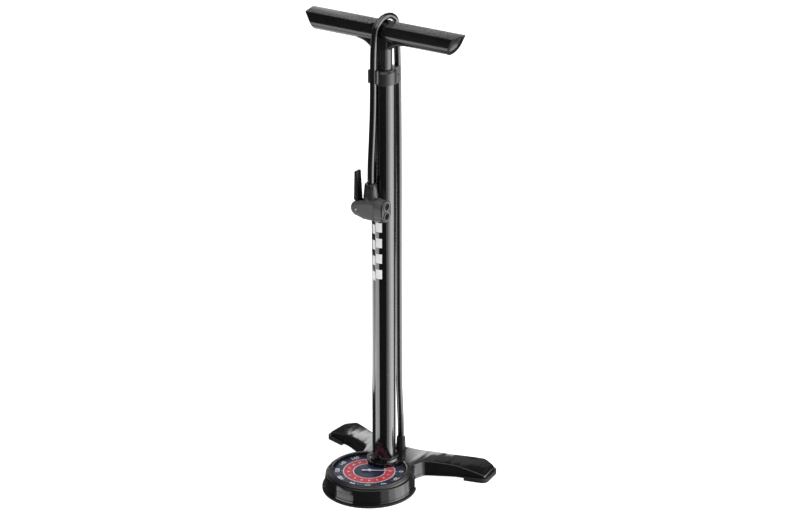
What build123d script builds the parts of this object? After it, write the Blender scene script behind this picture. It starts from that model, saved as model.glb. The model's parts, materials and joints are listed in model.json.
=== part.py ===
from build123d import *
import os
from math import atan2, cos, degrees, hypot, pi, radians, sin, tan

# Floor bike pump, stored with its handle down and its hose looped over the handle.
# Millimetres. +Z is up, X runs along the handle, the gauge faces -Y.
# The origin is on the floor, on the axis of the barrel.

# Barrel, rod and stroke
barrel_r = 17.5
barrel_wall = 1.3
barrel_bottom = 20.0
barrel_top = 640.0
bore_r = barrel_r - barrel_wall
rod_r = 13.0
rod_wall = 2.0
run_gap = 0.05          # radial running clearance of every sliding fit
fit_gap = 0.1           # radial clearance of parts that are only assembled

# Base
disc_y = -41.3          # centre of the round gauge end
disc_r = 66.0
deck_z = 26.0           # top of the deck round the gauge
foot_h = 3.0            # rubber under everything
lip_h = 7.0             # top of the lip that runs round the foot of the wall
lip_out = 2.4
sole_out = 2.2          # the rubber sole stands this far out beyond the lip
wall = 3.0
draft = 7.0             # lean of every outer wall, in degrees
flat_half = 30.0        # the deck is flat this far out
wing_arch_r = 386.0     # and then the wing tops fall away along a large arc
island_y = 3.5          # raised island round the barrel
island_r = 28.3
island_z = 31.0
port_y = 47.5           # hose port behind the barrel
port_z = 24.6

# Gauge
lens_r = 54.5
lens_top = 31.0
lens_t = 2.0
dial_z = 26.0
case_r = 57.0
case_floor = 8.0
bezel_r = 63.2
bezel_seat = 23.4       # the bezel's rim is sunk this low into the deck
bezel_end_y = 8.0       # the bezel stops beside the island
scale_start = 30.0      # degrees from +X, where the needle rests at zero
sector_sweep = 40.0     # degrees; the needle turns six times as far
sector_teeth = 60
pinion_teeth = 10
gear_module = 0.6

# Handle
handle_top = 717.0
handle_h = 28.0
handle_w = 29.0
handle_half = 125.0     # half length along the middle of the top face
end_lean = 0.464        # how far the end faces run in, per millimetre down
end_skew = 0.165        # and out, per millimetre backwards
handle_mid = handle_top - handle_h / 2
neck_bottom = 682.0
neck_r = 16.2

# Cap
cap_r = 18.9
cap_bottom = 628.0
cap_top = 649.0

# Hose
hose_r = 4.7
hose_front_y = -26.2
hose_back_y = 41.0
arch_y = (hose_front_y + hose_back_y) / 2
arch_r = (hose_back_y - hose_front_y) / 2
arch_z = 690.3
hose_start_z = 40.0
hose_end_z = 478.0

# Pump head, its axis along X in front of the barrel
head_y = -34.0
head_z = 446.6
pin_x = -18.0
pin_z = 445.0
seam_x = 11.0
nose_x = 27.0
nose_h = 33.0
nose_w = 24.0
port_pitch = 15.2
presta_z = head_z + port_pitch / 2
schrader_z = head_z - port_pitch / 2

# Piston
piston_bottom = 44.0
piston_top = 60.0


def rod(r, z0, z1, x=0.0, y=0.0):
    """Upright round bar between two heights."""
    return Pos(x, y, (z0 + z1) / 2) * Cylinder(r, z1 - z0)


def ring(r_out, r_in, z0, z1, x=0.0, y=0.0):
    """Upright tube between two heights."""
    return rod(r_out, z0, z1, x, y) - rod(r_in, z0 - 1, z1 + 1, x, y)


def bar_x(r, x0, x1, y, z):
    """Round bar along X."""
    return Pos((x0 + x1) / 2, y, z) * Rot(0, 90, 0) * Cylinder(r, x1 - x0)


def bar_y(r, y0, y1, x, z):
    """Round bar along Y."""
    return Pos(x, (y0 + y1) / 2, z) * Rot(90, 0, 0) * Cylinder(r, y1 - y0)


def block(x0, x1, y0, y1, z0, z1):
    """Box between three pairs of planes."""
    return Pos((x0 + x1) / 2, (y0 + y1) / 2, (z0 + z1) / 2) * Box(x1 - x0, y1 - y0, z1 - z0)


def turned(points, y=0.0, x=0.0):
    """Solid of revolution about an upright axis, from (radius, height) points."""
    face = make_face(Plane.XZ * Polyline(*points, close=True))
    return Pos(x, y, 0) * revolve(face, Axis.Z)


def plate(outline, z0, z1):
    """Flat outline raised between two heights."""
    return extrude(Pos(0, 0, z0) * outline, amount=z1 - z0, dir=(0, 0, 1))


def outline_of(points, radii):
    """Closed outline with its corners rounded."""
    return make_face(FilletPolyline(*points, radius=radii, close=True))


def polar(cx, cy, r, a):
    return (cx + r * cos(radians(a)), cy + r * sin(radians(a)))


# ---------------------------------------------------------------- base

# Right-hand half of the wings' plan, from the middle of the rear edge to the hub
wing_points = [
    (0, 58.5), (28, 60.5), (72, 77), (116, 103.5), (135, 97.5),
    (138.5, 62.5), (94, 51), (52, 30), (40, -6),
]
wing_radii = [60, 90, 90, 9, 7, 5, 60, 14, 1]


def wing_outline():
    left = [(-x, y) for x, y in reversed(wing_points) if x > 0]
    return outline_of(wing_points + left, wing_radii + wing_radii[:0:-1])


def base_plan(grow=0.0):
    """Plan of the round end and the two wings, with the corners between them rounded."""
    plan = Pos(0, disc_y) * Circle(disc_r) + wing_outline()
    corners = plan.vertices().filter_by(lambda v: 30 < abs(v.X) < 62 and -30 < v.Y < 20)
    plan = fillet(corners.sort_by(Axis.Y)[:2], 13)
    return offset(plan, grow) if grow else plan


def arch_at(x, r):
    """Point on the right-hand arch, x millimetres out."""
    run = x - flat_half
    return (x, deck_z - wing_arch_r + (r * r - run * run) ** 0.5)


def under_deck(drop=0.0):
    """Everything under the flat deck and the arched wings, or a skin's thickness lower."""
    r = wing_arch_r - drop
    start, mid, end = arch_at(flat_half, r), arch_at(90, r), arch_at(150, r)
    left = [(-x, z) for x, z in (start, mid, end)]
    outline = make_face([
        ThreePointArc(start, mid, end), Polyline(end, (150, -2), (-150, -2), left[2]),
        ThreePointArc(left[2], left[1], left[0]), Polyline(left[0], start),
    ])
    return extrude(Plane.XZ * outline, amount=130, both=True)


def leaning(grow, z0):
    """The base's plan raised from a height, with its walls leaning in."""
    return extrude(Pos(0, 0, z0) * base_plan(grow), amount=40, taper=draft)


screw_ring = 61.0
cover_screws = [polar(0, disc_y, screw_ring, a) for a in (-150, -90, -30)] + [(-44.0, 44.0), (44.0, 44.0)]


def base_shell():
    shell = leaning(1.6, lip_h - 1) & under_deck()
    top = shell.edges().filter_by(lambda e: e.center().Z > 9 and abs(e.tangent_at(0.5).Z) < 0.6)
    shell = fillet(top, 1.8)
    shell += plate(base_plan(lip_out), foot_h, lip_h)
    hollow = leaning(1.6 - wall, lip_h - 1) & under_deck(wall)
    return shell - hollow - plate(base_plan(1.6 - wall), 0, lip_h)


def base_body():
    body = base_shell() - rod(case_r + 0.4, 4, 60, 0, disc_y)
    body -= rod(bezel_r + 0.1, bezel_seat, 60, 0, disc_y) & block(-80, 80, -120, bezel_end_y, 0, 60)
    well = ring(case_r + 3.4, case_r + 0.4, foot_h + 2.6, bezel_seat, 0, disc_y)
    body += well & block(-80, 80, -120, 6, 0, 60)
    body += rod(island_r, foot_h + 2.6, island_z, 0, island_y)
    body += rod(10.5, foot_h + 2.6, port_z, 0, port_y)
    body += block(-10.5, 10.5, 24, port_y, foot_h + 2.6, port_z)
    for x, y in cover_screws:
        body += rod(2.7, foot_h + 2.6, bezel_seat - 0.1, x, y)
    body -= rod(8.6, port_z, 60, 0, port_y)
    body -= rod(barrel_r + fit_gap, barrel_bottom, 60)
    body -= block(-7.3, 7.3, -23.4, 54.6, 0, 17.0)
    body -= rod(7.7, 10, 25)
    body -= rod(5.5, 10, 30, 0, port_y)
    body -= bar_y(2.8, -40, -20, 0, 12.5)
    for x in (-12.2, 12.2):
        body -= rod(2.3, 10, 25, x) + rod(4.4, 0, 17.0, x)
    for x, y in cover_screws:
        body -= rod(1.4, 0, 16.0, x, y)
    return body - badge_shape(0.15, -0.9, 3.0)


def foot_ring():
    """Rubber sole of the round end."""
    sole = base_plan(lip_out + sole_out) - base_plan(lip_out - 4.2)
    return plate(sole, 0, foot_h) & block(-90, 90, disc_y - 90, disc_y + 30, -1, 10)


def wing_foot(side):
    """Rubber shoe under a wing tip, with a flange that stands out round the wall."""
    shoe = plate(base_plan(lip_out + 2.6), 0, foot_h)
    flange = plate(base_plan(lip_out + 2.6) - base_plan(lip_out + 0.05), foot_h, lip_h - 1)
    shoe = (shoe + flange) & block(*sorted((side * 110, side * 150)), 30, 120, -1, 10)
    return shoe


def base_cover():
    """Plate that closes the underside."""
    shape = plate(base_plan(1.2 - wall - 0.8), foot_h, foot_h + 2.4) & block(-100, 100, -120, 100, 0, 10)
    for x, y in cover_screws:
        shape -= rod(1.8, 0, 10, x, y)
    return shape


def cover_screw(x, y):
    head = rod(3.1, foot_h - 1.8, foot_h, x, y)
    head -= Pos(x, y, foot_h - 1.8) * Box(0.9, 4.2, 1.6) + Pos(x, y, foot_h - 1.8) * Box(4.2, 0.9, 1.6)
    return head + rod(1.35, foot_h, 15.0, x, y)


def badge_shape(grow, depth_in, depth_out):
    """Rounded rectangle on the front of the round wall, between two depths from its face."""
    r = disc_r + 1.0
    rectangle = RectangleRounded(28 + 2 * grow, 9.6 + 2 * grow, 2.5)
    outline = Plane.XZ.offset(-disc_y) * Pos(0, 12.4) * rectangle
    through = extrude(outline, amount=120)
    skin = rod(r + depth_out, 0, 40, 0, disc_y) - rod(r + depth_in, -1, 41, 0, disc_y)
    return through & skin


def base_badge():
    """Blank plate let into the front of the round wall."""
    return badge_shape(0.0, -0.85, 0.35)


# ---------------------------------------------------------------- gauge

def bite(r):
    return Pos(0, island_y) * Circle(r)


def gauge_plan(r, bite_r):
    return Pos(0, disc_y) * Circle(r) - bite(bite_r)


def gauge_case():
    """Bowl under the dial, cut away round the island."""
    shape = plate(gauge_plan(case_r, island_r + 0.3), case_floor - 2, dial_z - 1.0)
    shape -= plate(gauge_plan(case_r - 3.5, island_r + 2.3), case_floor, 60)
    rim = Pos(0, disc_y) * (Circle(case_r) - Circle(case_r - 1.2)) - bite(island_r + 0.3)
    shape += plate(rim, dial_z - 1.0, dial_z + 1.5)
    return shape - bar_y(2.8, -40, -20, 0, 12.5)


def gauge_dial():
    shape = plate(gauge_plan(case_r - 1.4, island_r + 0.6), dial_z - 1.0, dial_z)
    return shape - rod(1.7, 20, 30, 0, disc_y)


def gauge_lens():
    top = plate(gauge_plan(lens_r, island_r + 1.6), lens_top - lens_t, lens_top)
    skirt_in = gauge_plan(lens_r - 2.2, island_r + 3.6)
    skirt = plate(gauge_plan(lens_r, island_r + 1.6), dial_z, lens_top - lens_t)
    skirt -= plate(skirt_in, 0, lens_top - lens_t)
    flange = Pos(0, disc_y) * (Circle(case_r - 1.5) - Circle(lens_r - 1)) - bite(island_r + 1.6)
    shape = top + skirt + plate(flange, dial_z, dial_z + 1.2)
    return chamfer(shape.edges().filter_by(lambda e: e.center().Z > lens_top - 0.01), 0.8)


def gauge_bezel():
    """Ring that holds the lens down, open behind where the barrel stands."""
    points = [
        (case_r + 0.2, dial_z + 1.6), (lens_r + 0.3, dial_z + 1.6), (lens_r + 0.3, lens_top - 1.2),
        (lens_r + 1.2, lens_top - 0.5), (case_r + 2.4, lens_top - 1.4), (bezel_r - 0.7, deck_z + 2.0),
        (bezel_r, deck_z + 1.2), (bezel_r, bezel_seat),
        (case_r + 0.6, bezel_seat), (case_r + 0.6, deck_z),
    ]
    shape = turned(points, disc_y) - rod(island_r + 0.3, 0, 60, 0, island_y)
    return shape & block(-80, 80, -120, bezel_end_y, 0, 60)


pinion_r = gear_module * pinion_teeth / 2
sector_r = gear_module * sector_teeth / 2
sector_y = disc_y - pinion_r - sector_r
tail_r = 5.0            # from the quadrant's pivot to the link's pin
tail_angle = -45.0
tail_at = polar(0, sector_y, tail_r, tail_angle)
tube_r = 33.0
tube_tip = polar(0, disc_y, tube_r, 12)
link_pin_r = 0.8
link_play = 0.5         # the slot is this much wider than the tube's pin, on each side
tooth_half = 0.32       # half thickness of a tooth at the pitch line, with wide backlash


def tooth(cx, cy, r, a, tip, root):
    """One slender tooth that points away from its gear's centre."""
    points = []
    for rr, half in ((r - root, tooth_half * 1.5), (r + tip, tooth_half * 0.55)):
        for sign in ((-1, 1) if rr < r else (1, -1)):
            turn = degrees(sign * half / rr)
            points.append(polar(cx, cy, rr, a + turn))
    return make_face(Polyline(*points, close=True))


def pointer_arbor():
    """Needle shaft with its pinion cut on it."""
    gear = Pos(0, disc_y) * Circle(pinion_r - 0.7)
    for n in range(pinion_teeth):
        gear += tooth(0, disc_y, pinion_r, -90 + (n + 0.5) * 360 / pinion_teeth, 0.5, 0.8)
    return plate(gear, 15.6, 18.4) + rod(0.9, 13.7, 27.6, 0, disc_y)


def gauge_sector():
    """Toothed quadrant that the tube swings, with its tail."""
    step = 360 / sector_teeth
    low, high = 90 - sector_sweep - step, 90 + step
    rim = [polar(0, sector_y, sector_r - 0.9, low + i * (high - low) / 12) for i in range(13)]
    quadrant = make_face(Polyline((2.8, sector_y - 1), *rim, (-2.8, sector_y + 0.5), close=True))
    quadrant += Pos(0, sector_y) * Circle(3.2)
    quadrant += Pos(0, sector_y) * Rot(0, 0, tail_angle) * (Pos(tail_r / 2, 0) * Rectangle(tail_r, 3.2))
    quadrant += Pos(*tail_at) * Circle(1.6)
    for n in range(-int(sector_sweep / step) - 1, 2):
        quadrant += tooth(0, sector_y, sector_r, 90 + n * step, 0.5, 1.2)
    shape = plate(quadrant, 16, 18) - rod(1.0, 10, 25, 0, sector_y)
    return shape + rod(0.7, 18, 20.0, *tail_at)


def gauge_link():
    """Strap from the quadrant's tail to the tube's pin, in a slot as long as the tail's swing."""
    ax, ay = tail_at
    bx, by = tube_tip
    run = hypot(bx - ax, by - ay)
    strap = Pos(ax, ay) * Rot(0, 0, degrees(atan2(by - ay, bx - ax))) * (
        Pos(run / 2, 0) * Rectangle(run, 2.2) + Circle(1.7) - Circle(0.75))
    swung = polar(0, sector_y, tail_r, tail_angle + sector_sweep)
    back, down = swung[0] - ax, swung[1] - ay
    slot_r = link_pin_r + link_play
    slot_at = Pos(bx - back / 2, by - down / 2) * Rot(0, 0, degrees(atan2(down, back)))
    swing = hypot(back, down)
    strap += slot_at * SlotCenterToCenter(swing, 2 * slot_r + 2.0)
    strap -= slot_at * SlotCenterToCenter(swing, 2 * slot_r)
    return plate(strap, 18.4, 19.4)


def bourdon_tube():
    """Flattened C-shaped tube, closed at its free end by a lug with a pin."""
    band = Pos(0, disc_y) * (Circle(tube_r + 1.3) - Circle(tube_r - 1.3))
    gap = [(0, disc_y)] + [polar(0, disc_y, 70, a) for a in (16, 60, 110, 158)]
    band -= make_face(Polyline(*gap, close=True))
    x, y = tube_tip
    shape = plate(band, 11.5, 17.5) + block(x - 2.6, x + 2.6, y - 2.6, y + 1.6, 11.5, 17.8)
    return shape + rod(link_pin_r, 17.8, 20.0, x, y)


def gauge_socket():
    """Brass block that holds the fixed end of the tube and takes the stem."""
    shape = block(-36.0, 4.5, -33.6, -28.9, 10.6, 16.8)
    shape -= plate(Pos(0, disc_y) * (Circle(tube_r + 1.4) - Circle(tube_r - 1.4)), 11.4, 17.6)
    return shape - bar_y(1.2, -33, -20, 0, 12.5)


def gauge_stem():
    shape = bar_y(2.6, -28.9, -23.3, 0, 12.5)
    return shape - bar_y(1.2, -30, -20, 0, 12.5)


posts_at = [(x, y) for x in (-7.0, 7.0) for y in (disc_y + 5.0, sector_y - 7.0)]


def movement_plate(z0, z1):
    plan = Pos(0, (disc_y + sector_y) / 2 - 1.0) * RectangleRounded(18, 37, 4)
    shape = plate(plan, z0, z1)
    for x, y in posts_at:
        shape -= rod(1.15, 0, 40, x, y)
    return shape - rod(1.0, 0, 40, 0, disc_y) - rod(1.0, 0, 40, 0, sector_y)


def movement_frame():
    """Two plates that carry the pinion and the quadrant."""
    return movement_plate(10.6, 12.0) + movement_plate(21.6, 23.0)


def movement_post(x, y):
    """Shouldered post that spaces the plates and stands on the case's floor."""
    return rod(1.7, case_floor, 10.6, x, y) + rod(1.1, 10.6, 23.0, x, y) + rod(1.7, 12.0, 21.6, x, y)


def sector_shaft():
    return rod(0.95, 10.6, 22.9, 0, sector_y)


def gauge_pointer():
    """Needle: a long tapered blade, a short tail and a boss."""
    blade = make_face(Polyline((2.0, 1.1), (36.0, 0.35), (36.0, -0.35), (2.0, -1.1), close=True))
    tail = make_face(Polyline((-2.0, 1.3), (-11.0, 1.9), (-11.0, -1.9), (-2.0, -1.3), close=True))
    plan = Pos(0, disc_y) * Rot(0, 0, scale_start) * (blade + tail + Circle(3.2))
    shape = plate(plan, 27.0, 27.7)
    return shape + rod(2.2, 27.7, 28.6, 0, disc_y) - rod(0.92, 20, 27.62, 0, disc_y)


# ---------------------------------------------------------------- barrel and valve

def barrel_tube():
    return ring(barrel_r, bore_r, barrel_bottom, barrel_top)


def barrel_collar():
    r = barrel_r + fit_gap
    return turned([(r, island_z), (22.0, island_z), (22.0, 31.6), (20.2, 34.2), (r, 34.8)])


def valve_block():
    shape = rod(bore_r - fit_gap, barrel_bottom, 42) + rod(7.5, 17.0, barrel_bottom)
    shape -= ring(30, 14.0, 33.6, 37.2)
    shape -= rod(2.5, 10, 30) + rod(6.5, 27, 38) + rod(7.5, 38, 50)
    for x in (-12.2, 12.2):
        shape -= rod(1.9, 10, 31, x)
    return shape


def valve_seat():
    return ring(7.4, 3.0, 38.0, 41.5)


def check_disc():
    return rod(5.6, 35.8, 37.9) + rod(2.2, 34.0, 35.8)


def check_spring():
    """Coil that holds the check disc up against its seat."""
    z0, z1, r, wire = 27.6, 35.0, 3.9, 0.35
    coil = Helix(pitch=(z1 - z0) / 4, height=z1 - z0, radius=r)
    path = Pos(0, 0, z0) * coil
    start = path @ 0
    profile = Plane(origin=start, z_dir=path % 0) * Circle(wire)
    return sweep(profile, path=path)


def barrel_screw(x):
    head = rod(4.0, 13.4, 17.0, x) - Pos(x, 0, 13.4) * extrude(RegularPolygon(2.0, 6), 2.2)
    return head + rod(1.85, 17.0, 30.0, x)


def manifold():
    """Drilled bar that joins the valve, the gauge stem and the hose port."""
    shape = block(-7, 7, -23.1, 54.3, 6.2, 16.9)
    shape -= bar_y(2.0, -30, 50, 0, 12.5)
    shape -= rod(2.5, 12.5, 20)
    shape -= rod(4.0, 9.5, 20, 0, port_y)
    return shape


def barbs(z0, count, pitch, y):
    """Row of barbs that grip the inside of the hose."""
    points = [(0, z0)]
    for n in range(count):
        z = z0 + n * pitch
        points += [(2.5, z), (3.4, z + 0.9)]
    top = z0 + count * pitch
    return turned(points + [(2.5, top), (0, top)], y)


def hose_stem():
    """Barbed brass stem under the hose nut."""
    y = port_y
    shape = rod(3.9, 10.0, 16.9, 0, y) + rod(4.9, 16.9, 26.0, 0, y) + barbs(26.0, 3, 4.6, y)
    return shape - rod(1.4, 0, 60, 0, y)


def notched_nut(z0, z1, r0, r1, bore, notches, y):
    """Tapered nut with V-shaped finger notches round its upper end."""
    shape = turned([(bore, z0), (r0, z0), (r0, z0 + 3), (r1, z1 - 1), (r1 - 1, z1), (bore, z1)], y)
    half, deep = 0.62 * pi * r1 / notches, 0.4 * (z1 - z0)
    notch = Polyline((-half, z1 + 0.4), (half, z1 + 0.4), (0, z1 - deep), close=True)
    wedge = extrude(make_face(Plane.XZ * notch), amount=r1 + 4) - rod(r1 - 1.1, z0, z1 + 1)
    for n in range(notches):
        shape -= Pos(0, y, 0) * Rot(0, 0, (n + 0.5) * 360 / notches) * wedge
    return shape


def hose_nut():
    return notched_nut(port_z, 47.0, 7.4, 6.3, hose_r + 0.35, 9, port_y)


# ---------------------------------------------------------------- cap

def hose_clip():
    """Springy C in front that the hose snaps into."""
    z0, z1 = 634.0, 653.5
    grip_past = 2.0     # the arms reach this far past the middle of the hose
    shape = ring(7.9, hose_r + 0.3, z0, z1, 0, hose_front_y)
    shape -= block(-9, 9, -60, hose_front_y - grip_past, z0 - 1, z1 + 1)
    web = block(-5.0, 5.0, hose_front_y + 5.5, -10.0, z0, cap_top - 1.0)
    return shape + (web - rod(hose_r + 0.3, 600, 700, 0, hose_front_y))


def hose_rest():
    """Lug behind with a half-round cradle that keeps the hose off the barrel."""
    lug = block(-5.6, 5.6, 10.0, hose_back_y - 4.2, 619.0, 644.0)
    lug = fillet(lug.edges().filter_by(Axis.X), 2.5)
    return lug - rod(hose_r + 0.3, 600, 700, 0, hose_back_y) - bar_x(1.3, -20, 20, 31.0, 632.0)


def barrel_cap():
    shape = turned([
        (barrel_r + fit_gap, cap_bottom), (cap_r, cap_bottom), (cap_r, cap_top - 3.2),
        (cap_r - 1.0, cap_top - 2.0), (16.4, cap_top), (rod_r + 0.6, cap_top), (rod_r + 0.6, 646.2),
        (16.3, 646.2), (16.3, 643.6), (barrel_r + fit_gap, 643.6),
    ])
    shape += hose_clip() - rod(17.9, 600, 700)
    shape += hose_rest() - rod(17.9, 600, 700)
    return shape - rod(barrel_r + fit_gap, 600, 643.6)


def guide_bush():
    return turned([
        (rod_r + run_gap, 616), (bore_r - fit_gap, 616), (bore_r - fit_gap, barrel_top),
        (17.3, barrel_top), (17.3, 643.5), (rod_r + run_gap, 643.5),
    ])


def rod_wiper():
    return turned([(rod_r + run_gap, 643.6), (16.1, 643.6), (16.1, 646.0), (rod_r + 0.5, 646.0)])


# ---------------------------------------------------------------- handle, rod and piston

def u_section(inset=0.0):
    """Section of the grip, flat on top and round below, in the YZ plane."""
    half = handle_w / 2 - inset
    top = handle_top - inset
    low = handle_top - handle_h + inset
    turn = low + half
    sides = Polyline((-half, turn), (-half, top), (half, top), (half, turn))
    under = ThreePointArc((half, turn), (0, low), (-half, turn))
    return Plane.YZ * make_face([sides, under])


def end_normal(side):
    return Vector(side, -end_skew, -end_lean).normalized()


def end_middle(side):
    """Point of the slanting end face on the grip's long axis."""
    drop = handle_top - handle_mid
    return Vector(side * (handle_half + 0.1 - end_lean * drop), 0, handle_mid)


def end_block(side, depth):
    """Everything beyond the slanting end face, moved inwards by depth."""
    normal = end_normal(side)
    at = Vector(side * (handle_half + 0.1), 0, handle_top) - normal * depth
    return Plane(origin=at, z_dir=normal) * Pos(0, 0, 60) * Box(160, 160, 120)


def neck_flare():
    """Web that spreads from the neck to the underside of the bar."""
    reach, join, over = 37.0, 690.2, 696.0
    neck = neck_r + 1
    outline = make_face([
        Polyline((reach, over), (reach, join)),
        ThreePointArc((reach, join), (26, 687.6), (neck, neck_bottom)),
        Polyline((neck, neck_bottom), (-neck, neck_bottom)),
        ThreePointArc((-neck, neck_bottom), (-26, 687.6), (-reach, join)),
        Polyline((-reach, join), (-reach, over), (reach, over)),
    ])
    flare = extrude(Plane.XZ * outline, amount=10.5, both=True)
    lengthwise = flare.edges().filter_by(lambda e: abs(e.tangent_at(0.5).Y) < 0.1)
    return fillet(lengthwise.filter_by(lambda e: neck_bottom < e.center().Z < join - 0.4), 3.0)


def handle_grip():
    bar = extrude(u_section(), amount=150, both=True)
    long_edges = bar.edges().filter_by(lambda e: e.length > 250 and e.center().Z > handle_top - 1)
    bar = fillet(long_edges, 1.6)
    shape = bar + neck_flare() + rod(neck_r + 1, neck_bottom, 700)
    recess = extrude(u_section(3.4), amount=150, both=True)
    for side in (-1, 1):
        shape -= end_block(side, 0)
        shape -= recess & (end_block(side, 3.6) - end_block(side, 0))
    shape = shape - saddle() + hose_seat()
    shape -= bar_x(8.6, -106, 106, 0, handle_mid) + bar_x(6.6, -118, 118, 0, handle_mid)
    shape -= rod(rod_r + run_gap, 600, 692.4)
    shape -= rod(4.2, 600, 720) + rod(7.6, 712.2, 730)
    return shape


def about_arch(shape):
    """Moves a shape drawn about the X axis to the middle of the hose's arch."""
    return Pos(0, arch_y, arch_z) * shape


def saddle():
    """Rounded trough across the middle of the grip, turned about the hose's own arch."""
    floor_r, side_r, far = 27.6, 35.5, 60.0
    outline = make_face([
        Polyline((13, far), (13, side_r)),
        ThreePointArc((13, side_r), (9.0, 29.2), (0, floor_r)),
        ThreePointArc((0, floor_r), (-9.0, 29.2), (-13, side_r)),
        Polyline((-13, side_r), (-13, far), (13, far)),
    ])
    return about_arch(revolve(Plane.XZ * outline, Axis.X))


def hose_seat():
    """Raised pad that the hose lies on where it crosses the grip."""
    seat_gap, half_width, half_depth = 0.6, 5.0, 13.4
    drum = about_arch(Rot(0, 90, 0) * Cylinder(arch_r - hose_r - seat_gap, 2 * half_width))
    low, high = handle_top - 9, handle_top + 9
    return drum & block(-half_width, half_width, -half_depth + 3, half_depth, low, high)


def handle_core():
    shape = bar_x(8.5, -104, 104, 0, handle_mid) - bar_x(6.7, -110, 110, 0, handle_mid)
    return shape - rod(4.1, 680, 730)


def right_end_cap():
    """Oval plug let into the end of the grip, dished on the outside."""
    cap = extrude(u_section(3.6), amount=150, both=True) & (end_block(1, 3.4) - end_block(1, 1.6))
    dish_r, dish_depth = 42.0, 1.2
    normal = end_normal(1)
    cap -= Pos(*(end_middle(1) + normal * (dish_r - dish_depth - 1.6))) * Sphere(dish_r)
    spigot = bar_x(6.5, 98, 115, 0, handle_mid) - end_block(1, 3.0)
    return cap + spigot


def handle_bolt():
    head = turned([(0, 713.4), (6.3, 713.4), (6.3, 714.4), (4.8, 716.4), (0, 716.4)])
    socket = Pos(0, 0, 714.4) * extrude(RegularPolygon(2.6, 6), 4)
    return rod(3.85, 672, 713.6) + head - socket


def handle_washer():
    return ring(7.2, 4.1, 712.3, 713.3)


def piston_rod():
    return ring(rod_r, rod_r - rod_wall, piston_top, 692.0)


def rod_insert():
    return ring(rod_r - rod_wall - run_gap, 3.95, 668, 692.0)


def piston_head():
    shape = rod(15.8, piston_bottom, piston_top - 0.5) + rod(10.9, piston_top - 0.5, 72)
    shape -= ring(30, 13.4, 47.6, 51.2) + ring(30, 14.8, 54.0, 57.4)
    return shape - rod(3.1, 40, 80) - rod(5.6, 40, 48)


def piston_seal():
    return Pos(0, 0, 49.4) * Torus(14.75, 1.35)


def guide_band():
    return ring(bore_r - run_gap, 14.9, 54.1, 57.3)


def piston_screw():
    socket = Pos(0, 0, 44.0) * extrude(RegularPolygon(2.4, 6), 2.4)
    return rod(5.3, 44.4, 47.9) + rod(3.0, 47.9, 71.5) - socket


def bumper():
    return ring(15.6, rod_r + fit_gap, piston_top, 68.0)


# ---------------------------------------------------------------- hose

arch_side = 14.3        # half the length of each of the arch's straight runs
hose_points = [
    (0, port_y, hose_start_z), (0, port_y, 66), (0, 44.6, 104), (0, hose_back_y, 158),
    (0, hose_back_y, arch_z + arch_side), (0, arch_y + arch_side, arch_z + arch_r),
    (0, arch_y - arch_side, arch_z + arch_r), (0, hose_front_y, arch_z + arch_side),
    (0, hose_front_y, 604), (0, -30.5, 545), (0, head_y, 508), (0, head_y, hose_end_z),
]


def corner_radii(points):
    """Largest arc that each corner's two runs allow."""
    radii = []
    for a, b, c in zip(points, points[1:], points[2:]):
        into, out = Vector(*b) - Vector(*a), Vector(*c) - Vector(*b)
        turn = radians(into.get_angle(out))
        radii.append(0.45 * min(into.length, out.length) / tan(turn / 2))
    return radii


def hose():
    radii = corner_radii(hose_points)
    print("hose radii", [round(r) for r in radii])
    path = FilletPolyline(*hose_points, radius=radii)
    profile = Pos(*hose_points[0]) * Circle(hose_r)
    tube = sweep(profile, path=path)
    ratio = tube.volume / (path.length * pi * hose_r**2)
    print("hose length", round(path.length, 1), "volume ratio", round(ratio, 4))
    return tube


# ---------------------------------------------------------------- pump head

def racetrack_x(w, h, x0, x1, y, z):
    """Bar along X with rounded sides, w wide and h high."""
    section = Plane.YZ * Pos(y, z) * RectangleRounded(w, h, w / 2 - 0.6)
    return extrude(Pos(x0, 0, 0) * section, amount=x1 - x0, dir=(1, 0, 0))


def head_side(grow=0.0):
    """Side view of the body: round at the lever, deeper towards the nose."""
    r = 11.5 + grow
    top = head_z + nose_h / 2 - 1.2 + grow
    low = head_z - nose_h / 2 + 0.6 - grow
    wedge = make_face(Polyline(
        (pin_x, pin_z - r), (pin_x + 10, low), (seam_x, low),
        (seam_x, top), (pin_x + 14, top - 1.5), (pin_x, pin_z + r), close=True))
    return wedge + Pos(pin_x, pin_z) * Circle(r)


def head_body():
    half = 11.2
    shape = extrude(Plane.XZ.offset(-head_y) * head_side(), amount=half, both=True)
    rims = shape.edges().filter_by(lambda e: abs(abs(e.center().Y - head_y) - half) < 0.01)
    shape = fillet(rims.filter_by(lambda e: e.center().X < seam_x - 0.5), 5.5)
    shape += turned([(0, 452), (10.4, 452), (9.6, 462.5), (0, 462.5)], head_y)
    shape -= racetrack_x(15.4, 26.4, -8, seam_x + 1, head_y, head_z)
    shape -= block(-34, -7.5, head_y - 4.6, head_y + 4.6, 434.4, 480)
    shape -= bar_y(1.7, head_y - 20, head_y + 20, pin_x, pin_z)
    return shape - rod(3.6, head_z, 480, 0, head_y)


seam_gap = 0.8          # the shadow line between body and nose
trim_t = 0.6            # wall of the black trim over the nose's end
trim_back = 2.6


def head_nose():
    shape = racetrack_x(nose_w, nose_h, seam_x + seam_gap, nose_x - trim_back, head_y, head_z)
    shape += racetrack_x(nose_w - 2.6, nose_h - 2.6, seam_x, seam_x + seam_gap, head_y, head_z)
    thin = 2 * (trim_t + fit_gap)
    back, front = nose_x - trim_back, nose_x - trim_t
    shape += racetrack_x(nose_w - thin, nose_h - thin, back, front, head_y, head_z)
    for z in (presta_z, schrader_z):
        shape += bar_x(7.4, nose_x - trim_t, nose_x + 0.9, head_y, z)
    for z in (presta_z, schrader_z):
        shape -= bar_x(6.5, seam_x - 1, nose_x - 2, head_y, z) + bar_x(5.6, 0, nose_x + 5, head_y, z)
    return shape


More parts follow.
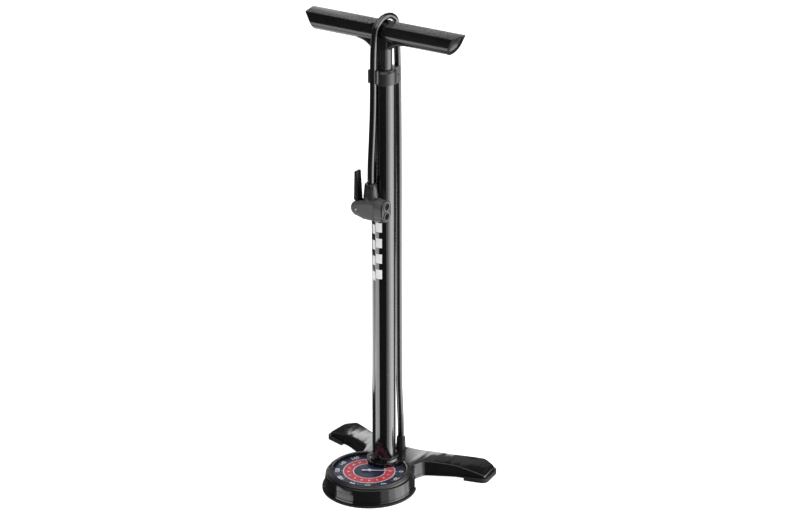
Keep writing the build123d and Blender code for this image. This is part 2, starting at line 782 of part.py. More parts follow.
def nose_trim():
    """Black cap over the nose's end, with openings for the two raised port rings."""
    shape = racetrack_x(nose_w, nose_h, nose_x - trim_back + fit_gap, nose_x, head_y, head_z)
    rim = shape.edges().filter_by(lambda e: e.center().X > nose_x - 0.01)
    shape = fillet(rim, 1.2)
    inner = 2 * trim_t
    shape -= racetrack_x(nose_w - inner, nose_h - inner, 0, nose_x - trim_t + fit_gap, head_y, head_z)
    for z in (presta_z, schrader_z):
        shape -= bar_x(7.4 + fit_gap, 0, nose_x + 5, head_y, z)
    return shape


def port_seal(z, bore):
    """Rubber grommet that grips a tyre valve."""
    x0, x1 = 15.2, nose_x - 2.05
    return bar_x(6.4, x0, x1, head_y, z) - bar_x(bore, 0, 40, head_y, z)


presta_bore = 3.1
schrader_bore = 4.0


def depressor():
    """Pin behind the wide port that opens a car-type valve."""
    shape = bar_x(5.2, 10.7, 11.7, head_y, schrader_z) + bar_x(1.0, 11.7, 15.1, head_y, schrader_z)
    return shape - bar_x(1.1, 10, 13, head_y + 3, schrader_z) - bar_x(1.1, 10, 13, head_y - 3, schrader_z)


cam_gap = 0.6
cam_throw = 2.0


def head_plunger():
    """Yoke that the lever's cam drives against both grommets."""
    tip = pin_x + 8 + cam_gap
    shape = racetrack_x(14.4, 25.2, 1.0, 4.5, head_y, head_z) + bar_x(3.4, tip, 1.0, head_y, pin_z)
    for z, end in ((presta_z, 12.9), (schrader_z, 10.6)):
        shape += bar_x(5.3, 4.5, end, head_y, z) - bar_x(3.2, 4.0, 15, head_y, z)
    return shape - rod(4.4, head_z + 8, 480, 0, head_y)


def head_lever():
    """Thumb lever with an offset cam round its pin."""
    hub = bar_y(8.0, head_y - 4.2, head_y + 4.2, pin_x, pin_z - cam_throw)
    hub += bar_y(7.6, head_y - 4.2, head_y + 4.2, pin_x, pin_z)
    neck = block(pin_x - 6.4, pin_x + 1.2, head_y - 4.2, head_y + 4.2, pin_z, pin_z + 14)
    lower = Pos(pin_x - 3.4, head_y, pin_z + 12.6) * RectangleRounded(7.2, 16.0, 2.6)
    upper = Pos(pin_x - 4.2, head_y, 500.5) * RectangleRounded(5.2, 12.4, 2.3)
    blade = loft([lower, upper])
    tips = blade.edges().filter_by(lambda e: e.center().Z > 500.4)
    blade = fillet(tips, 1.6)
    return hub + neck + blade - bar_y(1.65, head_y - 10, head_y + 10, pin_x, pin_z)


def lever_pin():
    return bar_y(1.6, head_y - 11.6, head_y + 11.6, pin_x, pin_z)


def head_barb():
    """Brass tail inside the collar that the hose is pushed on to."""
    shape = rod(3.5, 455.6, 462.6, 0, head_y) + rod(4.9, 462.6, 465.0, 0, head_y)
    return shape + barbs(465.0, 3, 4.2, head_y) - rod(1.4, 400, 500, 0, head_y)


def head_collar():
    return notched_nut(462.6, 485.0, 10.5, 8.6, hose_r + 0.35, 10, head_y)


def write_parts():
    nodes = {
        "base_body": base_body(),
        "front_foot_ring": foot_ring(),
        "left_wing_foot": wing_foot(-1),
        "right_wing_foot": wing_foot(1),
        "base_cover": base_cover(),
        "base_cover_screws": Compound(children=[cover_screw(x, y) for x, y in cover_screws]),
        "base_badge": base_badge(),
        "gauge_case": gauge_case(),
        "gauge_dial": gauge_dial(),
        "gauge_lens": gauge_lens(),
        "gauge_bezel": gauge_bezel(),
        "gauge_pointer": gauge_pointer(),
        "pointer_arbor": pointer_arbor(),
        "gauge_sector": gauge_sector(),
        "sector_shaft": sector_shaft(),
        "gauge_link": gauge_link(),
        "bourdon_tube": bourdon_tube(),
        "gauge_socket": gauge_socket(),
        "gauge_stem": gauge_stem(),
        "movement_plates": movement_frame(),
        "movement_posts": Compound(children=[movement_post(x, y) for x, y in posts_at]),
        "barrel_tube": barrel_tube(),
        "barrel_collar": barrel_collar(),
        "valve_block": valve_block(),
        "valve_block_seal": Pos(0, 0, 35.4) * Torus(15.1, 1.05),
        "valve_seat": valve_seat(),
        "check_valve_disc": check_disc(),
        "check_valve_spring": check_spring(),
        "barrel_screws": Compound(children=[barrel_screw(x) for x in (-12.2, 12.2)]),
        "air_manifold": manifold(),
        "hose_stem": hose_stem(),
        "hose_nut": hose_nut(),
        "barrel_cap": barrel_cap(),
        "guide_bush": guide_bush(),
        "rod_wiper": rod_wiper(),
        "handle_grip": handle_grip(),
        "handle_core": handle_core(),
        "left_end_cap": mirror(right_end_cap(), Plane.YZ),
        "right_end_cap": right_end_cap(),
        "handle_bolt": handle_bolt(),
        "handle_washer": handle_washer(),
        "piston_rod": piston_rod(),
        "rod_insert": rod_insert(),
        "piston_head": piston_head(),
        "piston_seal": piston_seal(),
        "piston_guide_band": guide_band(),
        "piston_screw": piston_screw(),
        "top_bumper": bumper(),
        "hose": hose(),
        "head_body": head_body(),
        "head_nose": head_nose(),
        "nose_trim": nose_trim(),
        "presta_seal": port_seal(presta_z, presta_bore),
        "schrader_seal": port_seal(schrader_z, schrader_bore),
        "valve_depressor": depressor(),
        "head_plunger": head_plunger(),
        "head_lever": head_lever(),
        "lever_pin": lever_pin(),
        "head_barb": head_barb(),
        "head_collar": head_collar(),
    }
    os.makedirs("parts", exist_ok=True)
    for name, shape in nodes.items():
        export_step(shape, f"parts/{name}.step")
        print(name, len(shape.solids()), round(shape.volume))


write_parts()
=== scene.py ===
import json
import math
import bpy
import bmesh
from mathutils import Matrix, Vector


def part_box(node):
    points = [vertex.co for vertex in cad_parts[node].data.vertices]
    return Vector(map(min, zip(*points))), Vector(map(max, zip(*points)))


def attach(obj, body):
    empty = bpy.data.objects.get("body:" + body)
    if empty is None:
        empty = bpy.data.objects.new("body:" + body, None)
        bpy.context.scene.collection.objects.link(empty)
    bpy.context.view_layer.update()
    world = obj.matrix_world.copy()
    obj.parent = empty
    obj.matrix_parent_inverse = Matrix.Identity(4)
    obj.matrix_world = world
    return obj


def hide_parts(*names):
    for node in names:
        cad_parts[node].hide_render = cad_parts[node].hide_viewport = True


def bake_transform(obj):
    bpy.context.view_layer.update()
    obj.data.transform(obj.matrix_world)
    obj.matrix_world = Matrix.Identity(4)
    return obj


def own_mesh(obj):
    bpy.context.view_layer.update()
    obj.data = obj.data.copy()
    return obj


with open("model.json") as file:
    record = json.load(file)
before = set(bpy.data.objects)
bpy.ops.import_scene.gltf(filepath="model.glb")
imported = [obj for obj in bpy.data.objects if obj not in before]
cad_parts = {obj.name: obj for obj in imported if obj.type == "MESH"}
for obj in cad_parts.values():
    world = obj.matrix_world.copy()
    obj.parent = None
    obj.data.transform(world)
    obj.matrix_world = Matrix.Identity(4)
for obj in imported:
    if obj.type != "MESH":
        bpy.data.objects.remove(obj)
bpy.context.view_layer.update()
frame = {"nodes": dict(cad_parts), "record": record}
nodes = frame["nodes"]
scene = bpy.context.scene
mm = 0.001


def box(node):
    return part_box(node)


def middle(node):
    low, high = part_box(node)
    return (low + high) / 2


def addObject(name, data):
    obj = bpy.data.objects.new(name, data)
    scene.collection.objects.link(obj)
    return obj


sharpAngle = 32          # degrees: edges sharper than this stay crisp
mergeGap = 0.0001 * mm


def finishMesh(bm, name, material, flat=False, angle=sharpAngle):
    # Merged, facing outwards, smooth except at sharp edges
    bmesh.ops.remove_doubles(bm, verts=bm.verts, dist=mergeGap)
    bmesh.ops.recalc_face_normals(bm, faces=bm.faces)
    for face in bm.faces:
        face.smooth = not flat
    for edge in bm.edges:
        if len(edge.link_faces) == 2 and edge.calc_face_angle(0) > math.radians(angle):
            edge.smooth = False
    mesh = bpy.data.meshes.new(name)
    bm.to_mesh(mesh)
    bm.free()
    mesh.materials.append(material)
    return addObject(name, mesh)


def onBody(piece, body, slot, *stoodFor):
    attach(piece, body)
    if stoodFor:
        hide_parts(*stoodFor)
    return piece


def newMaterial(name):
    material = bpy.data.materials.new(name)
    material.use_nodes = True
    tree = material.node_tree
    return material, tree, tree.nodes["Principled BSDF"]


def objectSpace(tree, stretch=(1, 1, 1)):
    place = tree.nodes.new("ShaderNodeTexCoord")
    mapping = tree.nodes.new("ShaderNodeMapping")
    mapping.inputs["Scale"].default_value = stretch
    tree.links.new(place.outputs["Object"], mapping.inputs["Vector"])
    return mapping.outputs["Vector"]


def noise(tree, scale, detail=3.0, stretch=(1, 1, 1), rough=0.5):
    node = tree.nodes.new("ShaderNodeTexNoise")
    node.inputs["Scale"].default_value = scale
    node.inputs["Detail"].default_value = detail
    node.inputs["Roughness"].default_value = rough
    tree.links.new(objectSpace(tree, stretch), node.inputs["Vector"])
    return node.outputs["Fac"]


def ramp(tree, value, low, high, start, end):
    node = tree.nodes.new("ShaderNodeMapRange")
    node.inputs["From Min"].default_value = low
    node.inputs["From Max"].default_value = high
    node.inputs["To Min"].default_value = start
    node.inputs["To Max"].default_value = end
    tree.links.new(value, node.inputs["Value"])
    return node.outputs["Result"]


def mixColour(tree, share, first, second):
    node = tree.nodes.new("ShaderNodeMix")
    node.data_type = "RGBA"
    node.inputs["A"].default_value = (*first, 1)
    node.inputs["B"].default_value = (*second, 1)
    tree.links.new(share, node.inputs["Factor"])
    return node.outputs["Result"]


def bump(tree, height, strength, depth):
    node = tree.nodes.new("ShaderNodeBump")
    node.inputs["Strength"].default_value = strength
    node.inputs["Distance"].default_value = depth
    tree.links.new(height, node.inputs["Height"])
    return node.outputs["Normal"]


wear = {
    "patchDetail": 4, "patchRange": (0.35, 0.7), "scuffFiner": 7, "scuffDetail": 5, "scuffRough": 0.65,
    "scuffRange": (0.3, 0.75), "grainDetail": 2,
}


def finish(name, colour, worn, rough, roughWorn, grain=(900, 0.25, 0.0001), patch=60, stretch=(1, 1, 1),
           metallic=0.0, coat=0.0, coatRough=0.05, ior=1.5):
    # Mottled colour, uneven roughness and a fine grain, all in object space
    material, tree, shader = newMaterial(name)
    links = tree.links
    patches = noise(tree, patch, wear["patchDetail"], stretch)
    share = ramp(tree, patches, *wear["patchRange"], 0, 1)
    links.new(mixColour(tree, share, colour, worn), shader.inputs["Base Color"])
    scuffs = noise(tree, patch * wear["scuffFiner"], wear["scuffDetail"], stretch, wear["scuffRough"])
    links.new(ramp(tree, scuffs, *wear["scuffRange"], rough, roughWorn), shader.inputs["Roughness"])
    grainScale, grainStrength, grainDepth = grain
    grains = noise(tree, grainScale, wear["grainDetail"], stretch)
    links.new(bump(tree, grains, grainStrength, grainDepth), shader.inputs["Normal"])
    shader.inputs["Metallic"].default_value = metallic
    shader.inputs["IOR"].default_value = ior
    shader.inputs["Coat Weight"].default_value = coat
    shader.inputs["Coat Roughness"].default_value = coatRough
    return material


black = (0.006, 0.006, 0.0065)
blackWorn = (0.009, 0.009, 0.0095)
charcoal = (0.02, 0.02, 0.021)
charcoalWorn = (0.028, 0.028, 0.029)
smooth = (2600, 0.03, 0.00005)      # grain: how fine, how strong, how deep
eroded = (2200, 0.1, 0.00006)
finishes = {
    "base_plastic": finish("satinBase", black, blackWorn, 0.11, 0.16, smooth, 22, ior=1.5),
    "foot_rubber": finish("soleRubber", black, charcoal, 0.6, 0.75, (1400, 0.4, 0.0002)),
    "badge_plastic": finish("badgeSatin", (0.05, 0.05, 0.052), (0.06, 0.06, 0.062), 0.2, 0.3, smooth),
    "steel_zinc": finish("zincPlate", (0.8, 0.81, 0.83), (0.7, 0.71, 0.73), 0.25, 0.34, smooth, metallic=1),
    "black_steel": finish("blackOxide", charcoal, charcoalWorn, 0.35, 0.5, eroded, metallic=0.6),
    "gauge_plastic": finish("gaugeBowl", black, charcoal, 0.4, 0.55),
    "dial_print": finish("dialFace", (0.016, 0.018, 0.042), (0.02, 0.022, 0.05), 0.4, 0.5, smooth),
    "bezel_plastic": finish("bezelSatin", (0.02, 0.02, 0.021), (0.026, 0.026, 0.027), 0.22, 0.28,
                            smooth, 25),
    "pointer_paint": finish("pointerPaint", (0.8, 0.78, 0.86), (0.7, 0.68, 0.78), 0.35, 0.5, smooth),
    "brass": finish("turnedBrass", (0.78, 0.56, 0.26), (0.6, 0.42, 0.19), 0.22, 0.4,
                    (600, 0.12, 0.0001), metallic=1),
    "barrel_gloss": finish("barrelPaint", (0.0025, 0.0025, 0.003), (0.004, 0.004, 0.0045), 0.14, 0.18,
                           smooth, 20, coat=1, coatRough=0.045),
    "rod_gloss": finish("rodAnodised", (0.012, 0.012, 0.013), (0.018, 0.018, 0.019), 0.18, 0.25,
                        smooth, 30, (1, 1, 0.08), coat=0.4),
    "white_acetal": finish("acetal", (0.78, 0.78, 0.75), (0.7, 0.7, 0.67), 0.35, 0.5),
    "seal_rubber": finish("sealRubber", (0.012, 0.012, 0.012), (0.022, 0.022, 0.022), 0.5, 0.68,
                          (1200, 0.3, 0.0001)),
    "spring_steel": finish("springWire", (0.5, 0.5, 0.52), (0.36, 0.36, 0.38), 0.2, 0.35, metallic=1),
    "cast_alloy": finish("castAlloy", (0.62, 0.62, 0.64), (0.5, 0.5, 0.52), 0.42, 0.6,
                         (400, 0.4, 0.0002), metallic=1),
    "nut_plastic": finish("nutSatin", charcoal, charcoalWorn, 0.25, 0.35, eroded),
    "cap_plastic": finish("capSatin", charcoal, charcoalWorn, 0.26, 0.36, eroded, 30),
    "grip_plastic": finish("gripSatin", black, blackWorn, 0.15, 0.2, smooth, 24, ior=1.5),
    "grip_end": finish("gripEnd", charcoal, charcoalWorn, 0.24, 0.34, smooth),
    "hose_gloss": finish("hoseRubber", (0.004, 0.004, 0.004), (0.007, 0.007, 0.007), 0.14, 0.2,
                         smooth, 30, coat=0.8, coatRough=0.06),
    "head_plastic": finish("headMatt", (0.085, 0.086, 0.088), (0.1, 0.1, 0.103), 0.4, 0.5, eroded, 50),
    "lever_plastic": finish("leverSatin", black, blackWorn, 0.22, 0.32, smooth),
    "plunger_plastic": finish("plungerNylon", (0.5, 0.5, 0.47), (0.42, 0.42, 0.4), 0.45, 0.6),
}


lens = {
    "tint": (0.95, 0.96, 0.98, 1), "mirrorTint": (0.9, 0.9, 1.0, 1), "mirrorShare": 0.02,
    "hazeScale": 90, "hazeDetail": 4, "hazeRange": (0.3, 0.8), "rough": (0.02, 0.07),
}


def clearLens():
    # Clear acrylic that lets light straight through and mirrors a little of the studio
    material, tree, shader = newMaterial("lensAcrylic")
    tree.nodes.remove(shader)
    clear = tree.nodes.new("ShaderNodeBsdfTransparent")
    clear.inputs["Color"].default_value = lens["tint"]
    gloss = tree.nodes.new("ShaderNodeBsdfGlossy")
    gloss.inputs["Color"].default_value = lens["mirrorTint"]
    haze = noise(tree, lens["hazeScale"], lens["hazeDetail"])
    tree.links.new(ramp(tree, haze, *lens["hazeRange"], *lens["rough"]), gloss.inputs["Roughness"])
    both = tree.nodes.new("ShaderNodeMixShader")
    both.inputs["Fac"].default_value = lens["mirrorShare"]
    tree.links.new(clear.outputs["BSDF"], both.inputs[1])
    tree.links.new(gloss.outputs["BSDF"], both.inputs[2])
    tree.links.new(both.outputs["Shader"], tree.nodes["Material Output"].inputs["Surface"])
    return material


def ink(name, colour, speck):
    return finish(name, colour, speck, 0.45, 0.6, (1500, 0.05, 0.00005), 120)


finishes["lens_clear"] = clearLens()
whiteInk = ink("whiteInk", (0.95, 0.95, 0.97), (0.88, 0.88, 0.9))
redInk = ink("redInk", (0.72, 0.06, 0.075), (0.62, 0.045, 0.055))

for part in frame["record"]["subparts"]:
    slots = nodes[part["node"]].data.materials
    slots.clear()
    slots.append(finishes[part["material_slot"]])


weldGap = 0.002 * mm


# CAD meshes come as loose triangles: weld them for shading and keep the sharp edges
def dressNode(obj):
    weld = obj.modifiers.new("weld", "WELD")
    weld.merge_threshold = weldGap
    split = obj.modifiers.new("sharp", "EDGE_SPLIT")
    split.split_angle = math.radians(sharpAngle)
    for face in obj.data.polygons:
        face.use_smooth = True


for obj in nodes.values():
    dressNode(obj)
print("materials on", len(nodes), "nodes")


hoseFacts = {"radius": 4.7 * mm, "length": 0.97, "bevelSteps": 7, "arcSteps": 16}
hoseRoute = [
    (0, 47.5, 40), (0, 47.5, 66), (0, 44.6, 104), (0, 41, 158), (0, 41, 704.6), (0, 21.7, 723.9),
    (0, -6.9, 723.9), (0, -26.2, 704.6), (0, -26.2, 604), (0, -30.5, 545), (0, -34, 508), (0, -34, 478),
]


def hoseCurve():
    curve = bpy.data.curves.new("hoseLine", "CURVE")
    curve.dimensions = "3D"
    spline = curve.splines.new("NURBS")
    spline.points.add(len(hoseRoute) - 1)
    for point, place in zip(spline.points, hoseRoute):
        point.co = (*(Vector(place) * mm), 1)
    spline.order_u = 3
    spline.use_endpoint_u = True
    spline.resolution_u = hoseFacts["arcSteps"]
    return curve


def makeHose():
    curve = hoseCurve()
    line = addObject("hoseLine", curve)
    bpy.context.view_layer.update()
    path = [v.co.copy() for v in bpy.data.meshes.new_from_object(line).vertices]
    curve.bevel_depth = hoseFacts["radius"]
    curve.bevel_resolution = hoseFacts["bevelSteps"]
    curve.use_fill_caps = True
    bpy.context.view_layer.update()
    mesh = bpy.data.meshes.new_from_object(line)
    bpy.data.objects.remove(line)
    mesh.name = "hoseTube"
    bm = bmesh.new()
    bm.from_mesh(mesh)
    hose = finishMesh(bm, "hoseTube", finishes["hose_gloss"], angle=50)
    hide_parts("hose")
    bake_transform(hose)
    return hose, path


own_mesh(nodes["check_valve_spring"])

hose, hosePath = makeHose()
print("hose", len(hosePath), "points")


dial = {
    "numberRadius": 47.4 * mm, "numberSize": 9.0 * mm, "zeroAngle": 30, "degreesPerTwenty": -30,
    "ringInner": 24.2 * mm, "ringOuter": 38 * mm, "lineWidth": 1.1 * mm, "ringStart": 130, "ringSweep": 280,
    "barRadius": 31 * mm, "barSize": 5.2 * mm, "psiPerBar": 14.504, "inkDepth": 0.05 * mm, "bold": 0.03,
    "ringSteps": 140, "tickGap": 1.4 * mm, "longTick": 2.6 * mm, "shortTick": 1.4 * mm,
    "longTickHalf": 0.45, "shortTickHalf": 0.28, "topPsi": 160, "topBar": 11,
}
dialCentre = Vector((0, -41.3 * mm, 0))


def ringSector(bm, centre, inner, outer, low, high, start, sweep, steps):
    # A rectangle turned about the dial's centre
    turn = Matrix.Translation(centre) @ Matrix.Rotation(math.radians(start), 4, "Z")
    corners = ((inner, 0, low), (outer, 0, low), (outer, 0, high), (inner, 0, high))
    face = bm.faces.new([bm.verts.new(turn @ Vector(corner)) for corner in corners])
    geometry = [face, *face.edges, *face.verts]
    bmesh.ops.spin(bm, geom=geometry, cent=centre, axis=(0, 0, 1), angle=math.radians(sweep), steps=steps,
                   use_duplicate=False, use_merge=False)


def wordMesh(text, size, thick):
    curve = bpy.data.curves.new("word", "FONT")
    curve.body = text
    curve.size = size
    curve.align_x = "CENTER"
    curve.align_y = "CENTER"
    curve.offset = size * dial["bold"]
    curve.extrude = thick / 2
    curve.resolution_u = 3
    word = addObject("word", curve)
    bpy.context.view_layer.update()
    mesh = bpy.data.meshes.new_from_object(word)
    bpy.data.objects.remove(word)
    return mesh


def printWords(name, words, size, radius, centre, material):
    # Each word stands at its angle with its top outwards
    bm = bmesh.new()
    for text, angle in words:
        mesh = wordMesh(text, size, dial["inkDepth"])
        around = Matrix.Rotation(math.radians(angle), 4, "Z") @ Matrix.Translation((radius, 0, 0))
        mesh.transform(Matrix.Translation(centre) @ around @ Matrix.Rotation(math.radians(-90), 4, "Z"))
        bm.from_mesh(mesh)
    return finishMesh(bm, name, material, flat=True)


def scaleAngle(psi):
    return dial["zeroAngle"] + dial["degreesPerTwenty"] * psi / 20


def makeDialPrint():
    top, ink, line = box("gauge_dial")[1].z, dial["inkDepth"], dial["lineWidth"]
    inner, outer = dial["ringInner"], dial["ringOuter"]
    start, sweep, steps = dial["ringStart"], dial["ringSweep"], dial["ringSteps"]
    bm = bmesh.new()
    edge = math.degrees(line / outer)
    ringSector(bm, dialCentre, inner - line, outer + line, top, top + ink,
               start - edge, sweep + 2 * edge, steps)
    onBody(finishMesh(bm, "scaleOutline", whiteInk, flat=True), "pump_frame", "dial_print")
    bm = bmesh.new()
    ringSector(bm, dialCentre, inner, outer, top + ink, top + 2 * ink, start, sweep, steps)
    onBody(finishMesh(bm, "scaleRing", redInk, flat=True), "pump_frame", "dial_print")

    bm = bmesh.new()
    foot = outer + dial["tickGap"]
    for psi in range(0, dial["topPsi"] + 1, 5):
        kind = "longTick" if psi % 20 == 0 else "shortTick"
        half = dial[kind + "Half"]
        ringSector(bm, dialCentre, foot, foot + dial[kind], top, top + ink,
                   scaleAngle(psi) - half, 2 * half, 1)
    onBody(finishMesh(bm, "scaleTicks", whiteInk, flat=True), "pump_frame", "dial_print")

    numbers = [(str(psi), scaleAngle(psi)) for psi in range(0, dial["topPsi"] + 1, 20)]
    bars = [(str(bar), scaleAngle(bar * dial["psiPerBar"])) for bar in range(dial["topBar"] + 1)]
    for name, words, size, radius, layer in (
            ("scaleNumbers", numbers, dial["numberSize"], dial["numberRadius"], 0.5),
            ("scaleBars", bars, dial["barSize"], dial["barRadius"], 2.5)):
        lift = Vector((0, 0, top + ink * layer))
        printed = printWords(name, words, size, radius, dialCentre + lift, whiteInk)
        onBody(printed, "pump_frame", "dial_print")


makeDialPrint()
print("dial printed")


bezel = {
    "profile": [(54.8, 27.6), (54.8, 29.8), (55.5, 30.5), (59.2, 30.1), (60.0, 29.5), (60.3, 28.6),
                (60.9, 28.4), (61.9, 27.9), (62.3, 27.2), (62.3, 23.5), (57.3, 23.5), (57.3, 27.6)],
    "opening": 57, "steps": 120, "endY": 8 * mm,
}


def makeBezel():
    # A stepped ring, open where the barrel's island stands
    bm = bmesh.new()
    start = math.radians(180 - bezel["opening"])
    turn = Matrix.Translation(dialCentre) @ Matrix.Rotation(start, 4, "Z")
    face = bm.faces.new([bm.verts.new(turn @ (Vector((r, 0, z)) * mm)) for r, z in bezel["profile"]])
    bmesh.ops.spin(bm, geom=[face, *face.edges, *face.verts], cent=dialCentre, axis=(0, 0, 1),
                   angle=math.radians(180 + 2 * bezel["opening"]), steps=bezel["steps"], use_merge=False)
    bmesh.ops.bisect_plane(bm, geom=[*bm.verts, *bm.edges, *bm.faces], plane_co=(0, bezel["endY"], 0),
                           plane_no=(0, 1, 0), clear_outer=True)
    bmesh.ops.holes_fill(bm, edges=[e for e in bm.edges if e.is_boundary])
    piece = finishMesh(bm, "bezelRing", finishes["bezel_plastic"], angle=40)
    onBody(piece, "pump_frame", "bezel_plastic", "gauge_bezel")


badge = {
    "radius": 67.3 * mm, "outer": 67.75 * mm, "low": 9.2 * mm, "high": 15.6 * mm, "ribInset": 1.2 * mm,
    "ribs": 7, "pitch": 2.7, "half": 0.75, "frameTall": 0.5 * mm, "frameWide": 0.5,
}


def makeBadgeRibs():
    # Plain grip ribs inside a thin frame on the blank plate
    bm = bmesh.new()
    inner, outer, low, high = badge["radius"], badge["outer"], badge["low"], badge["high"]
    inset, tall, wide = badge["ribInset"], badge["frameTall"], badge["frameWide"]
    for n in range(badge["ribs"]):
        start = -90 + (n - (badge["ribs"] - 1) / 2) * badge["pitch"] - badge["half"]
        ringSector(bm, dialCentre, inner, outer, low + inset, high - inset, start, 2 * badge["half"], 2)
    reach = badge["ribs"] / 2 * badge["pitch"] + wide
    for bottom in (low, high - tall):
        ringSector(bm, dialCentre, inner, outer, bottom, bottom + tall, -90 - reach, 2 * reach, 16)
    for start in (-90 - reach, -90 + reach - wide):
        ringSector(bm, dialCentre, inner, outer, low + tall, high - tall, start, wide, 1)
    onBody(finishMesh(bm, "badgeRibs", finishes["badge_plastic"], flat=True), "pump_frame", "badge_plastic")


graphic = {
    "low": 326 * mm, "blocks": 4, "pitch": 24.5 * mm, "tall": 14.5 * mm, "ink": 0.06 * mm, "steps": 12,
    "columns": ((-123, 22, 0), (-97, 32, 4.5 * mm)),      # start and sweep in degrees, and how much higher
}


def makeBarrelGraphic():
    # Staggered pairs of plain blocks wrapped on the barrel
    bm = bmesh.new()
    radius = box("barrel_tube")[1].x
    for n in range(graphic["blocks"]):
        for start, sweep, shift in graphic["columns"]:
            low = graphic["low"] + n * graphic["pitch"] + shift
            ringSector(bm, Vector(), radius, radius + graphic["ink"], low, low + graphic["tall"],
                       start, sweep, graphic["steps"])
    onBody(finishMesh(bm, "barrelGraphic", whiteInk, angle=40), "pump_frame", "barrel_gloss")


pinHead = {
    "profile": [(0, 0.95), (0.9, 0.85), (1.7, 0.5), (2.2, 0), (2.2, -0.3), (0, -0.3)],
    "side": 11.25, "steps": 32,
}


def makePinHeads():
    # Domed rivet heads on both ends of the lever's pin
    pin = middle("lever_pin")
    bm = bmesh.new()
    for side in (-1, 1):
        place = pin + Vector((0, side * pinHead["side"] * mm, 0))
        line = [bm.verts.new(place + Vector((r, side * h, 0)) * mm) for r, h in pinHead["profile"]]
        edges = [bm.edges.new(pair) for pair in zip(line, line[1:])]
        bmesh.ops.spin(bm, geom=line + edges, cent=place, axis=(0, 1, 0), angle=math.tau,
                       steps=pinHead["steps"], use_merge=True)
    onBody(finishMesh(bm, "pinHeads", finishes["steel_zinc"]), "pump_frame", "steel_zinc")


makeBezel()
makeBadgeRibs()
makeBarrelGraphic()
makePinHeads()
print("bezel, badge, graphic and pin heads made")


view = {
    "azimuth": 32.267, "elevation": 22.747, "distance": 3.9974, "lens": 122.72,
    "aimHeight": 0.325, "aimRight": 0.023946, "aimUp": 0.029391,
}


def addCamera():
    a, e = math.radians(view["azimuth"]), math.radians(view["elevation"])
    right = Vector((math.cos(a), math.sin(a), 0))
    back = Vector((math.sin(a) * math.cos(e), -math.cos(a) * math.cos(e), math.sin(e)))
    up = back.cross(right)
    aim = Vector((0, 0, view["aimHeight"])) + right * view["aimRight"] + up * view["aimUp"]
    data = bpy.data.cameras.new("camera")
    data.lens = view["lens"]
    data.sensor_width = 36
    data.clip_end = 50
    camera = addObject("camera", data)
    turn = Matrix((right, up, back)).transposed().to_4x4()
    camera.matrix_world = Matrix.Translation(aim + back * view["distance"]) @ turn
    scene.camera = camera


# Softboxes: degrees round from the camera, height of the middle, width, height, distance, radiance
softboxes = {
    "keyNear": (38, 0.3, 0.9, 4.6, 2.6, 1.0),
    "keyMiddle": (57, 0.3, 0.75, 4.6, 2.6, 2.8),
    "keyBright": (82, 0.3, 1.5, 4.6, 2.6, 4.4),
    "keyFar": (108, 0.3, 0.9, 4.6, 2.6, 2.4),
    "leftLow": (-67, -1.3, 2.3, 1.4, 2.6, 3.2),
    "rearFill": (-140, 1.0, 2.0, 3.0, 3.4, 0.5),
    "backBox": (180, 1.12, 1.1, 0.6, 3.0, 3.6),
    "backHigh": (180, 2.1, 2.6, 0.8, 3.0, 0.35),
    "topBox": (0, 3.2, 3.6, 3.6, 0.2, 1.8),
}
softboxAim = Vector((0, 0, 0.35))
floorGlow = {"width": 0.5, "tall": 1.3, "radiance": 1.6, "place": (-0.55, 0.35, 0.004)}


def addArea(name, width, tall, radiance, place, turn):
    data = bpy.data.lights.new(name, "AREA")
    data.shape = "RECTANGLE"
    data.size, data.size_y = width, tall
    data.energy = radiance * math.pi * data.size * data.size_y
    light = addObject(name, data)
    light.matrix_world = Matrix.Translation(place) @ turn
    light.visible_camera = False


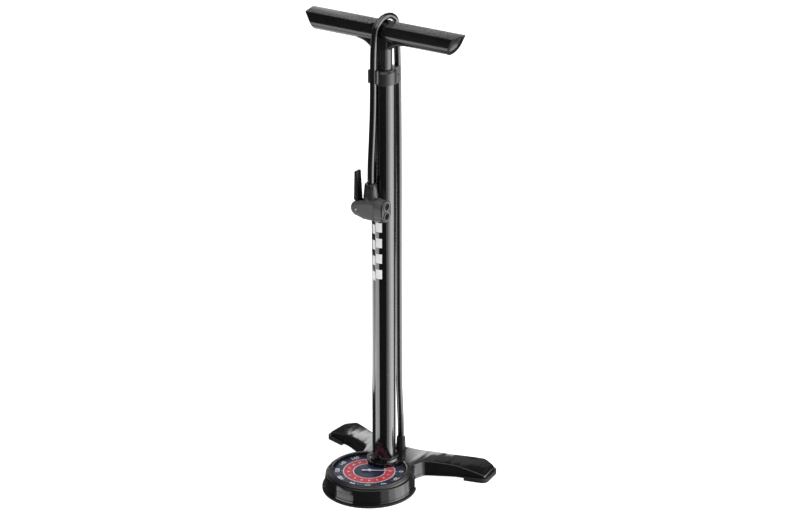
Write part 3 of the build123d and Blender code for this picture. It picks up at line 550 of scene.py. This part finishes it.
def addSoftbox(name, turn, height, width, tall, distance, radiance):
    a = math.radians(view["azimuth"] + turn)
    place = Vector((math.sin(a) * distance, -math.cos(a) * distance, height))
    facing = (place - softboxAim).to_track_quat("Z", "Y").to_matrix().to_4x4()
    addArea(name, width, tall, radiance, place, facing)


def addFloorGlow():
    # Bounce from the paper that lights the undersides
    facing = Matrix.Rotation(math.pi, 4, "X")
    glow = floorGlow
    addArea("floorGlow", glow["width"], glow["tall"], glow["radiance"], glow["place"], facing)


floorSheet = {
    "size": 14, "colour": (0.4, 0.4, 0.4), "worn": (0.38, 0.38, 0.38), "rough": (0.9, 0.95),
    "grain": (40, 0.02, 0.0005), "patch": 2, "emission": 1.0,
}


def addFloor():
    # White paper that glows enough to leave no horizon
    bm = bmesh.new()
    bmesh.ops.create_grid(bm, x_segments=1, y_segments=1, size=floorSheet["size"])
    paper = finish("floorPaper", floorSheet["colour"], floorSheet["worn"], *floorSheet["rough"],
                   floorSheet["grain"], floorSheet["patch"])
    shader = paper.node_tree.nodes["Principled BSDF"]
    shader.inputs["Emission Color"].default_value = (1, 1, 1, 1)
    shader.inputs["Emission Strength"].default_value = floorSheet["emission"]
    floor = finishMesh(bm, "floorSheet", paper)
    floor.visible_glossy = False


backdrop = {"litStrength": 0.05, "seenStrength": 1.0}


def addWorld():
    # White to the camera, nearly dark to everything else
    world = bpy.data.worlds.new("studio")
    scene.world = world
    world.use_nodes = True
    tree = world.node_tree
    lit = tree.nodes["Background"]
    lit.inputs["Color"].default_value = (1, 1, 1, 1)
    lit.inputs["Strength"].default_value = backdrop["litStrength"]
    seen = tree.nodes.new("ShaderNodeBackground")
    seen.inputs["Strength"].default_value = backdrop["seenStrength"]
    rays = tree.nodes.new("ShaderNodeLightPath")
    both = tree.nodes.new("ShaderNodeMixShader")
    tree.links.new(rays.outputs["Is Camera Ray"], both.inputs["Fac"])
    tree.links.new(lit.outputs["Background"], both.inputs[1])
    tree.links.new(seen.outputs["Background"], both.inputs[2])
    tree.links.new(both.outputs["Shader"], tree.nodes["World Output"].inputs["Surface"])


addCamera()
addFloorGlow()
for name, facts in softboxes.items():
    addSoftbox(name, *facts)
addFloor()
addWorld()
scene.view_settings.view_transform = "Standard"
print("studio ready")
